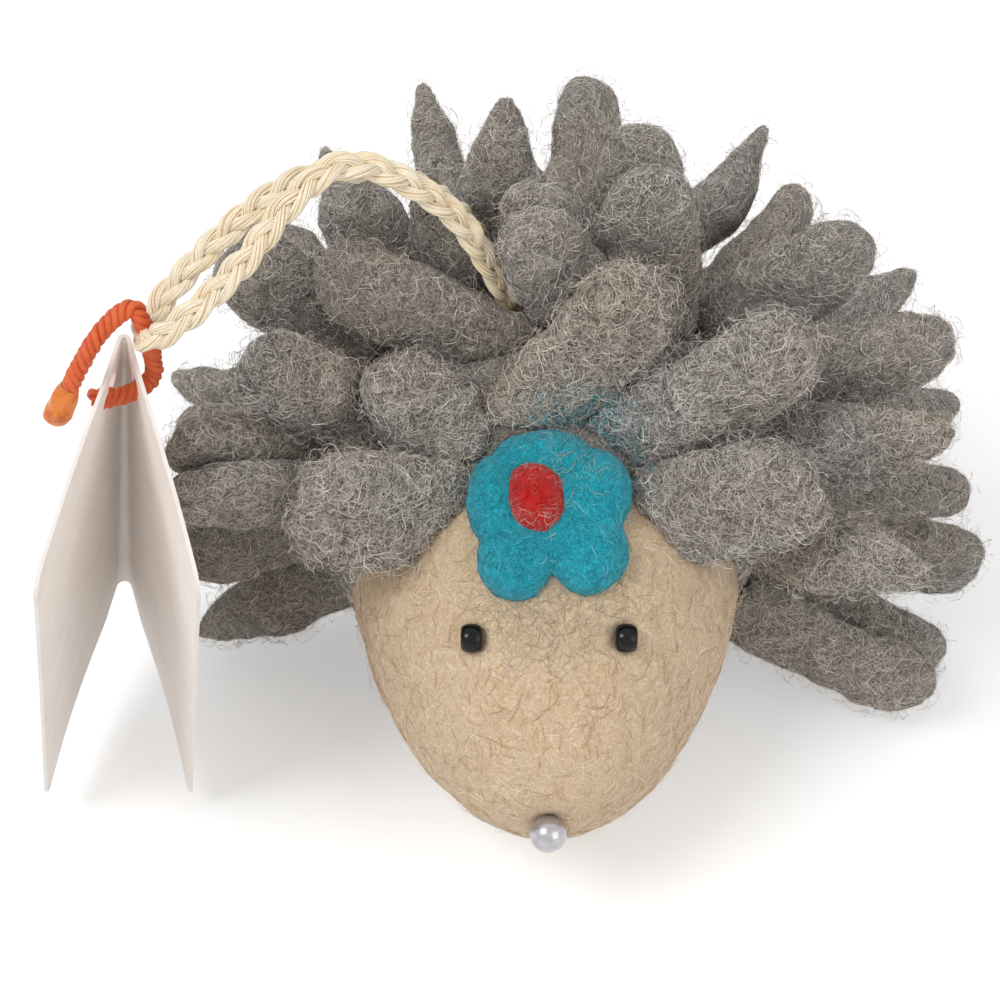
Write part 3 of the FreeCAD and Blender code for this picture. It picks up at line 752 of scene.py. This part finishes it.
for number, name in enumerate(quill_names):
    rng = np.random.default_rng(300 + number)
    form = forms[name]
    share = openness(form)
    front = name.startswith(FRONT)
    density = 19.0 if front else 7.0
    warmth = 0.42 + rng.normal(0, 0.12)
    lift, stray = (0.08 * MM, 0.0) if name == BESIDE_CARD else (0.20 * MM, 0.12)
    lots = [Fibres(form, share, density, rng, 2.4 * MM, 0.050 * MM, lift, stray, 0.7, warmth,
                   runs=5 if front else 4)]
    looks = [GRAY_FELT, GRAY_FIBRE]
    tinted = share * near(form, FLOWER_TOP, 9 * MM)
    if front and tinted.max() > 0.1:
        lots.append(Fibres(form, tinted, 36.0, rng, 2.2 * MM, 0.045 * MM, 0.18 * MM, 0.06, 0.6, 0.7))
        looks.append(TEAL_FIBRE)
    felt_piece(name + "_wool", form, lots, looks, "gray_felt", name)

rng = np.random.default_rng(400)
form = forms["ball"]
lots = [Fibres(form, openness(form), 2.4, rng, 2.8 * MM, 0.065 * MM, 0.20 * MM, 0.10, 0.6, 0.4, runs=4)]
felt_piece("felt_ball_wool", form, lots, [GRAY_FELT, GRAY_FIBRE], "gray_felt", "felt_ball")

form = forms["face"]
share = openness(form)
under_flower = share * near(form, FLOWER - FLOWER_UP * (8 * MM), 10 * MM)
lots = [
    Fibres(form, share, 3.0, rng, 2.8 * MM, 0.048 * MM, 0.10 * MM, 0.04, 0.45, 0.4, runs=3),
    Fibres(form, under_flower, 14.0, rng, 2.2 * MM, 0.036 * MM, 0.20 * MM, 0.10, 0.6, 0.4, runs=3),
]
felt_piece("felt_face_wool", form, lots, [BEIGE_FELT, BEIGE_FIBRE, FUZZ_FIBRE], "beige_felt", "felt_face")

form = forms["petals"]
share = openness(form)
over_flower = share * near(form, FLOWER_TOP, 7 * MM)
lots = [
    Fibres(form, share, 12.0, rng, 1.8 * MM, 0.040 * MM, 0.07 * MM, 0.03, 0.5, 0.3),
    Fibres(form, over_flower, 4.0, rng, 2.6 * MM, 0.036 * MM, 0.25 * MM, 0.15, 0.5, 0.4),
]
felt_piece("flower_petals_wool", form, lots, [TEAL_FELT, TEAL_FIBRE, FUZZ_FIBRE], "turquoise_felt",
           *petal_names)

form = forms["centre"]
middles = quads_of(form)[0]
low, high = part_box("flower_centre")
from_middle = middles - np.array((low + high) / 2)
from_middle -= np.outer(from_middle @ FLOWER_OUT, FLOWER_OUT)
edge = np.clip((np.linalg.norm(from_middle, axis=1) - 2.3 * MM) / (0.8 * MM), 0, 1)
lots = [
    Fibres(form, openness(form), 11.0, rng, 1.7 * MM, 0.050 * MM, 0.07 * MM, 0.04, 0.6, 0.0),
    Fibres(form, openness(form) * edge, 7.0, rng, 1.8 * MM, 0.045 * MM, 0.14 * MM, 0.10, 0.5, 1.0),
]
felt_piece("flower_centre_wool", form, lots, [RED_FELT, RED_FIBRE, RED_FIBRE], "red_felt", "flower_centre")


# ---------------------------------------------------------------- beads
def lathe(name, profile, middle, axis, sides):
    """A closed profile of (along, radius) points turned about an axis."""
    axis = unit(np.array(axis, float))
    across = unit(np.cross(axis, (0.21, 0.13, 0.97)))
    up = np.cross(axis, across)
    turn = np.linspace(0, 2 * math.pi, sides, endpoint=False)
    ring = across * np.cos(turn)[:, None] + up * np.sin(turn)[:, None]
    points = np.array([middle + axis * along + ring * radius for along, radius in profile])
    return mesh_object(name, points.reshape(-1, 3), grid_faces(len(profile), sides))


def middle_of(node):
    low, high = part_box(node)
    return np.array((low + high) / 2)


def bent(value, power):
    return math.copysign(abs(value) ** power, value)


# a glass seed bead is a barrel with rounded ends and a thread hole with a soft edge
BEAD_RADIUS = 1.55 * MM
BEAD_HALF = 1.12 * MM
BEAD_HOLE = 0.30 * MM
profile = []
for turn in np.linspace(0, 2 * math.pi, 49):
    wall = 0.5 + 0.5 * bent(math.cos(turn), 0.85)
    profile.append((bent(math.sin(turn), 0.95) * BEAD_HALF, BEAD_HOLE + (BEAD_RADIUS - BEAD_HOLE) * wall))
for node in ("eye_bead_left", "eye_bead_right"):
    glass = lathe(node + "_glass", profile, middle_of(node), (1, 0, 0), 48)
    add_piece(glass, [GLASS], "black_bead", "ornament", node)

PEARL_RADIUS = 2.0 * MM
PEARL_HOLE = 0.35 * MM
mouth = math.asin(PEARL_HOLE / PEARL_RADIUS) + 0.03
profile = [(0.9 * PEARL_RADIUS, 0.8 * PEARL_HOLE)]
for turn in np.linspace(mouth, math.pi - mouth, 40):
    profile.append((math.cos(turn) * PEARL_RADIUS, math.sin(turn) * PEARL_RADIUS))
profile.append((-0.9 * PEARL_RADIUS, 0.8 * PEARL_HOLE))
pearl = lathe("nose_bead_pearl_coat", profile, middle_of("nose_bead_pearl"), (1, 0, 0), 64)
add_piece(pearl, [PEARL], "pearl", "ornament", "nose_bead_pearl")

# ---------------------------------------------------------------- card
# One folded sheet, in millimetres. It is laid out flat, s across both leaves from the fold and depth
# down from the top, and then bent: leaves that bow a little, and a round fold that opens out towards
# the bottom.
CARD_TOP = np.array((-43.5, -15.2, 62.0))
CARD_WIDTH = 30.0
CARD_HEIGHT = 52.0
CARD_CORNER = 2.5
CARD_THICKNESS = 0.4
HALF_OPENING = math.radians(14.5)
LEAF_OFFSET = 0.3
HOLE_RADIUS = 1.4
HOLE_FROM_FOLD = 4.2
HOLE_FROM_TOP = 3.2
card_turn = (Matrix.Rotation(math.radians(5.6), 3, "Z") @ Matrix.Rotation(math.radians(6.9), 3, "Y")
             @ Matrix.Rotation(math.radians(17.6), 3, "X"))
card_turn = np.array(card_turn)


def fold_radius(depth):
    """How round the fold is at a depth below the card's top."""
    return 0.5 + 0.6 * (depth / CARD_HEIGHT) ** 1.5


def card_bend(s, depth):
    """Where a point of the flat sheet lies in the card's own frame."""
    radius = fold_radius(depth)
    back = (radius - LEAF_OFFSET) / math.sin(HALF_OPENING)
    fold_half = radius * (math.pi / 2 - HALF_OPENING)
    out = np.maximum(np.abs(s) - fold_half, 0)
    turn = np.clip(np.abs(s) / fold_half, 0, 1) * (math.pi / 2 - HALF_OPENING)
    right = radius * np.sin(turn) + out * math.sin(HALF_OPENING)
    front = -back + radius * np.cos(turn) - out * math.cos(HALF_OPENING)
    bow = 0.5 * np.sin(math.pi * np.clip((out - 5) / 25, 0, 1)) * (0.4 + 0.6 * depth / CARD_HEIGHT)
    right = right + bow * math.cos(HALF_OPENING)
    return np.stack([np.sign(s) * right, front + bow * math.sin(HALF_OPENING), -depth], axis=-1)


top_fold = fold_radius(0.0)
tangent_at = (top_fold - LEAF_OFFSET) / math.tan(HALF_OPENING)
SHEET_HALF = top_fold * (math.pi / 2 - HALF_OPENING) + CARD_WIDTH - tangent_at
HOLE_AT = SHEET_HALF - CARD_WIDTH + HOLE_FROM_FOLD
across = np.concatenate([np.linspace(-SHEET_HALF, -3, 28), np.linspace(-2.8, 2.8, 29),
                         np.linspace(3, SHEET_HALF, 28)])
down = np.linspace(0, CARD_HEIGHT, 53)
straight_across = across[np.abs(across) < SHEET_HALF - CARD_CORNER - 0.3]
straight_down = down[np.abs(down - CARD_HEIGHT / 2) < CARD_HEIGHT / 2 - CARD_CORNER - 0.3]
outline = []
for corner, turn, side in (((1, 1), 0, [(s, CARD_HEIGHT) for s in straight_across[::-1]]),
                           ((-1, 1), 90, [(-SHEET_HALF, depth) for depth in straight_down[::-1]]),
                           ((-1, -1), 180, [(s, 0.0) for s in straight_across]),
                           ((1, -1), 270, [(SHEET_HALF, depth) for depth in straight_down])):
    middle = np.array([corner[0] * (SHEET_HALF - CARD_CORNER),
                       CARD_HEIGHT / 2 + corner[1] * (CARD_HEIGHT / 2 - CARD_CORNER)])
    for angle in np.radians(turn + np.linspace(0, 90, 9)):
        outline.append(middle + CARD_CORNER * np.array([math.cos(angle), math.sin(angle)]))
    outline += side
rings = [np.array(outline)]
for side in (-1, 1):
    turn = np.linspace(0, 2 * math.pi, 28, endpoint=False)
    rings.append(np.stack([side * HOLE_AT + HOLE_RADIUS * np.cos(turn),
                           HOLE_FROM_TOP + HOLE_RADIUS * np.sin(turn)], axis=1))
s, depth = (values.ravel() for values in np.meshgrid(across, down))
inside = np.ones(len(s), bool)
for side in (-1, 1):
    inside &= np.hypot(s - side * HOLE_AT, depth - HOLE_FROM_TOP) > HOLE_RADIUS + 0.25
corner_s = np.maximum(np.abs(s) - (SHEET_HALF - CARD_CORNER), 0)
corner_depth = np.maximum(np.abs(depth - CARD_HEIGHT / 2) - (CARD_HEIGHT / 2 - CARD_CORNER), 0)
inside &= (np.abs(s) < SHEET_HALF - 0.2) & (np.abs(depth - CARD_HEIGHT / 2) < CARD_HEIGHT / 2 - 0.2)
inside &= np.hypot(corner_s, corner_depth) < CARD_CORNER - 0.3
flat = np.concatenate(rings + [np.stack([s[inside], depth[inside]], axis=1)])
edges = []
base = 0
for ring in rings:
    edges += [(base + index, base + (index + 1) % len(ring)) for index in range(len(ring))]
    base += len(ring)
places, _, triangles, *_ = delaunay_2d_cdt([tuple(place) for place in flat], edges, [], 0, 1e-6)
flat = np.array([place[:] for place in places])
triangles = np.array(triangles)
middles = flat[triangles].mean(axis=1)
in_hole = np.hypot(np.abs(middles[:, 0]) - HOLE_AT, middles[:, 1] - HOLE_FROM_TOP) < HOLE_RADIUS
points = (card_bend(flat[:, 0], flat[:, 1]) @ card_turn.T + CARD_TOP) * MM
card = mesh_object("card_sheet", points, triangles[~in_hole])
thick = card.modifiers.new("thick", "SOLIDIFY")
thick.thickness = CARD_THICKNESS * MM
thick.offset = 0.0
mesh = bpy.data.meshes.new_from_object(card.evaluated_get(bpy.context.evaluated_depsgraph_get()))
card.modifiers.clear()
card.data = mesh
mesh.set_sharp_from_angle(angle=math.radians(40))
mesh.materials.append(CARD)
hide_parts("card_leaf_left", "card_leaf_right")
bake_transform(card)

# ---------------------------------------------------------------- floor and light
FLOOR_HALF = 3.0
FLOOR_GLOW = 0.35
floor = mesh_object("floor", [(-FLOOR_HALF, -FLOOR_HALF, 0), (FLOOR_HALF, -FLOOR_HALF, 0),
                              (FLOOR_HALF, FLOOR_HALF, 0), (-FLOOR_HALF, FLOOR_HALF, 0)], [[0, 1, 2, 3]])
floor_look = bpy.data.materials.new("floor_white")
floor_look.use_nodes = True
shader = floor_look.node_tree.nodes["Principled BSDF"]
shader.inputs["Base Color"].default_value = (0.86, 0.86, 0.86, 1)
shader.inputs["Roughness"].default_value = 0.9
shader.inputs["Emission Color"].default_value = (1, 1, 1, 1)
rays = add_node(floor_look, "ShaderNodeLightPath")
seen = math_of(floor_look, "MAXIMUM", rays.outputs["Is Camera Ray"], rays.outputs["Is Glossy Ray"])
link(floor_look, math_of(floor_look, "MULTIPLY", seen, FLOOR_GLOW), shader.inputs["Emission Strength"])
floor.data.materials.append(floor_look)
floor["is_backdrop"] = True

world = bpy.data.worlds.new("studio")
scene.world = world
world.use_nodes = True
background = world.node_tree.nodes["Background"]
rays = add_node(world, "ShaderNodeLightPath")
seen = math_of(world, "MAXIMUM", rays.outputs["Is Camera Ray"], rays.outputs["Is Glossy Ray"])
seen = math_of(world, "MAXIMUM", seen, rays.outputs["Is Transmission Ray"])
level = add_node(world, "ShaderNodeMapRange")
level.inputs["To Min"].default_value = 0.58
level.inputs["To Max"].default_value = 1.0
link(world, seen, level.inputs["Value"])
link(world, level.outputs["Result"], background.inputs["Strength"])
background.inputs["Color"].default_value = (1, 1, 1, 1)


def soft_light(name, place, size, power):
    """A round lamp aimed at the object's middle."""
    lamp = bpy.data.lights.new(name, "AREA")
    lamp.shape = "DISK"
    lamp.size = size
    lamp.energy = power
    thing = bpy.data.objects.new(name, lamp)
    scene.collection.objects.link(thing)
    back = unit(np.array(place) - np.array([0.0, 0.0, 0.03]))
    right = unit(np.cross((0, 0, 1), back))
    turned = np.eye(4)
    turned[:3] = np.stack([right, np.cross(back, right), back, place], axis=1)
    thing.matrix_world = Matrix(turned.tolist())


soft_light("key", (-0.35, -0.25, 0.62), 0.35, 2.1)
soft_light("fill", (0.45, -0.40, 0.35), 0.5, 0.8)
scene.view_settings.view_transform = "Standard"

low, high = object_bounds()
